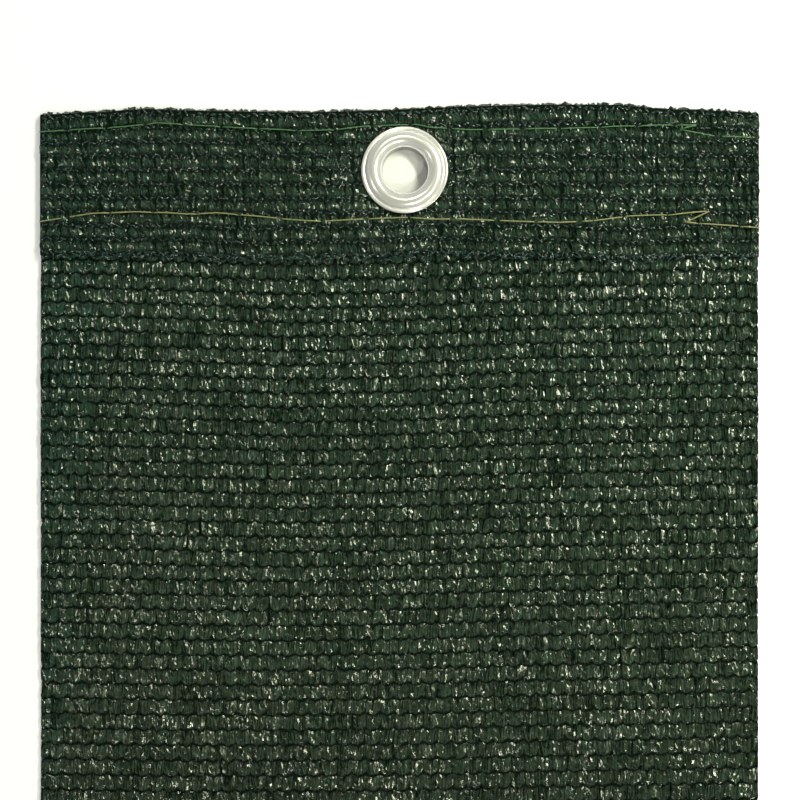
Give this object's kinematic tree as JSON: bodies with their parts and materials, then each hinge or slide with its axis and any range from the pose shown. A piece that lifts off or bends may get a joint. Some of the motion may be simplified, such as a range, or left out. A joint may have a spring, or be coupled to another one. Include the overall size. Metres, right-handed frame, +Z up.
{
  "type": "privacy screen cloth",
  "caption": "Cut length of dark green knitted privacy screen cloth with a stitched turned hem along the top edge and a round metal eyelet through it.",
  "frame": {"origin": "centre of the bounding box, at the surface that the cloth lies on", "axes": "+Z up off the surface, +Y up the cloth towards the hem, +X to the right as seen from above"},
  "size_m": [0.1662, 0.181, 0.0049],
  "materials": {
    "screen_cloth": "slightly glossy knitted plastic tape",
    "hem_cloth": "slightly glossy knitted plastic tape",
    "eyelet_metal": "bright plated",
    "washer_metal": "bright plated"
  },
  "bodies": {
    "root": {"screen_body": "screen_cloth", "hem_strip": "hem_cloth", "eyelet": "eyelet_metal", "eyelet_washer": "washer_metal"}
  },
  "joints": []
}
